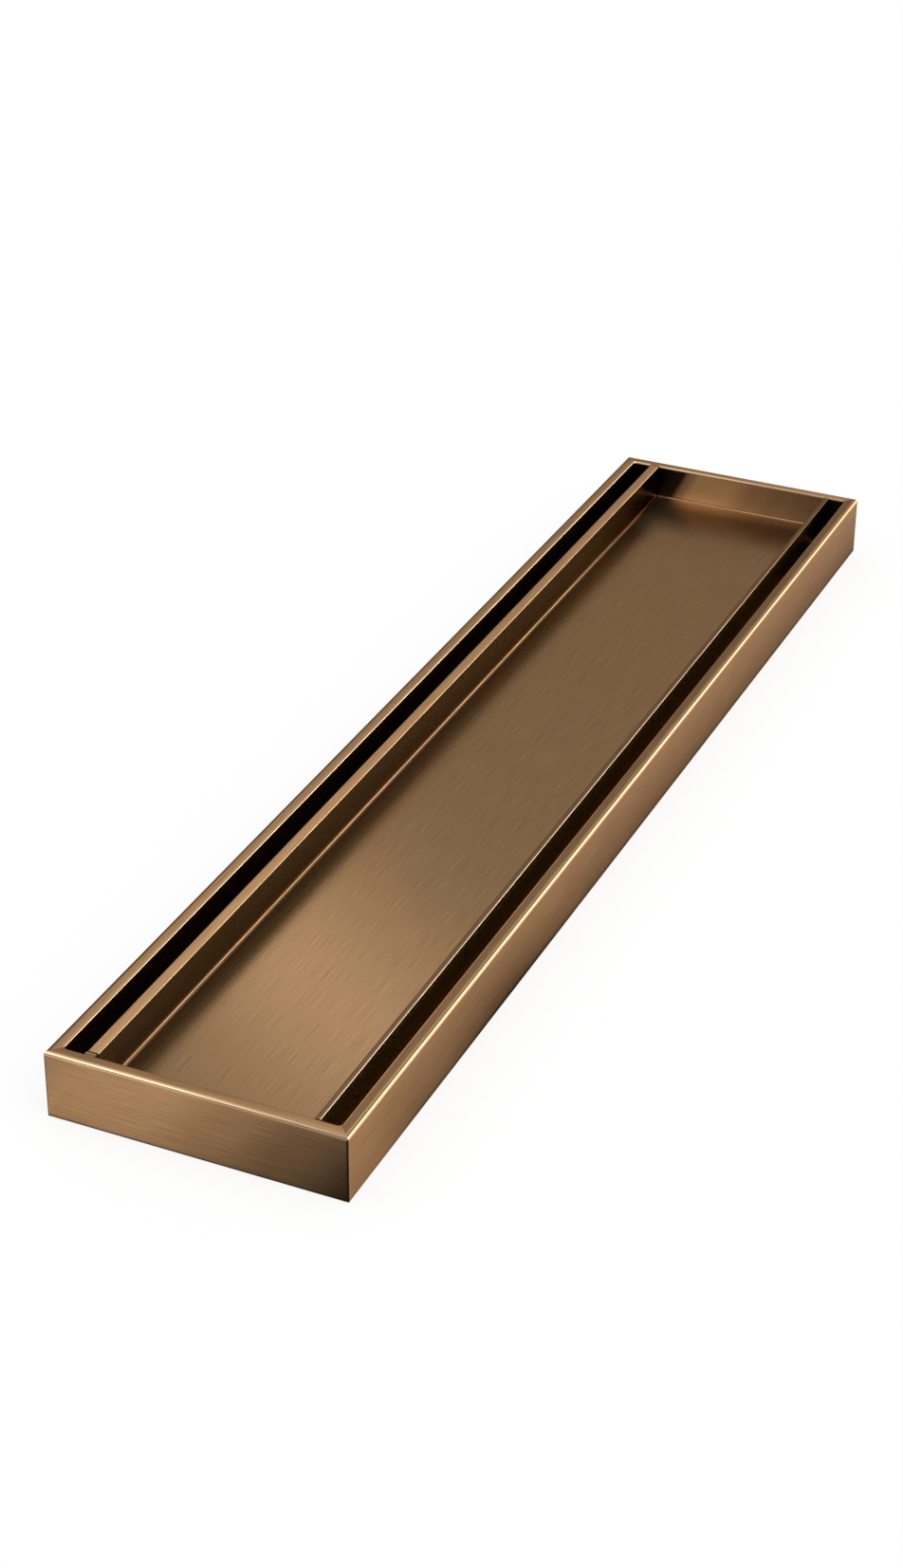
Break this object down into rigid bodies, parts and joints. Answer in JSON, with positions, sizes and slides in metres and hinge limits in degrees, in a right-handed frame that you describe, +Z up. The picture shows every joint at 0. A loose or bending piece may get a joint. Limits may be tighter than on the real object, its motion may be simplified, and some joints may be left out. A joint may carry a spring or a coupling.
{
  "type": "linear shower drain",
  "caption": "Long shallow shower channel in brushed bronze metal with a drop-in tile insert, open slots along both long sides and an outlet in its floor.",
  "frame": {"origin": "middle of the channel's underside, on the surface it stands on", "axes": "+Y along the channel, towards the end that is far from the camera in the picture, +X across it and +Z up"},
  "size_m": [0.085, 0.4, 0.02],
  "materials": {
    "tray_metal": "brushed bronze coat, lengthwise grain",
    "insert_metal": "brushed bronze coat, lengthwise grain",
    "foot_rubber": "matte black"
  },
  "bodies": {
    "root": {"channel_tray": "tray_metal", "tile_insert": "insert_metal", "support_foot_1": "foot_rubber", "support_foot_2": "foot_rubber", "support_foot_3": "foot_rubber", "support_foot_4": "foot_rubber", "support_foot_5": "foot_rubber", "support_foot_6": "foot_rubber", "support_foot_7": "foot_rubber", "support_foot_8": "foot_rubber"}
  },
  "joints": []
}
